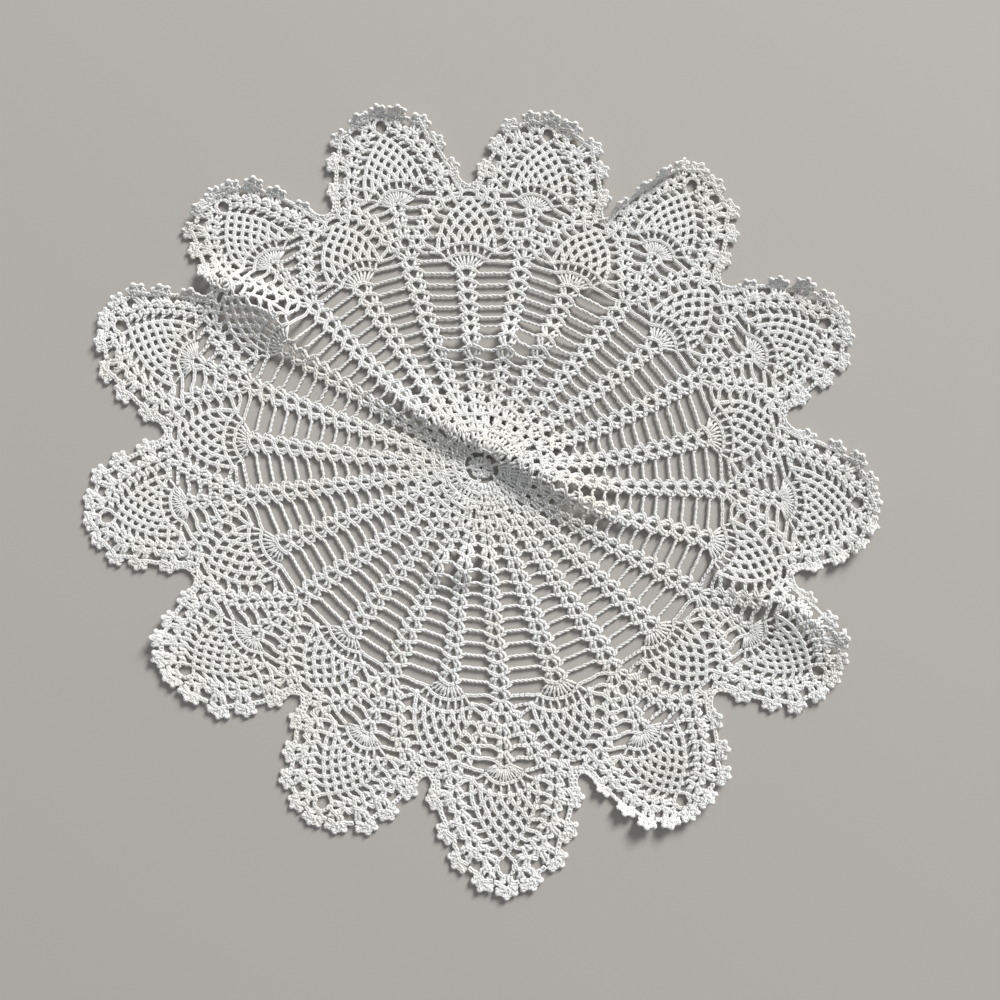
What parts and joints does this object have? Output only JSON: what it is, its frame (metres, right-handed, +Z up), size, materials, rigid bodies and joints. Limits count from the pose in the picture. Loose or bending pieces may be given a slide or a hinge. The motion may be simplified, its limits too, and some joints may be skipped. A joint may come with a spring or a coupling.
{
  "type": "crocheted lace doily",
  "caption": "Round white cotton doily with an openwork ladder centre, pineapple motifs and a deep scalloped picot edge, lying flat with an old fold across it.",
  "frame": {"origin": "middle of the bounding box on the surface the doily lies on", "axes": "+Z up out of the cloth, +X to the right and +Y away from the viewer as it lies"},
  "size_m": [0.4058, 0.403, 0.0118],
  "materials": {
    "cotton": "matt bleached cotton thread"
  },
  "bodies": {
    "root": {"doily": "cotton"}
  },
  "joints": []
}
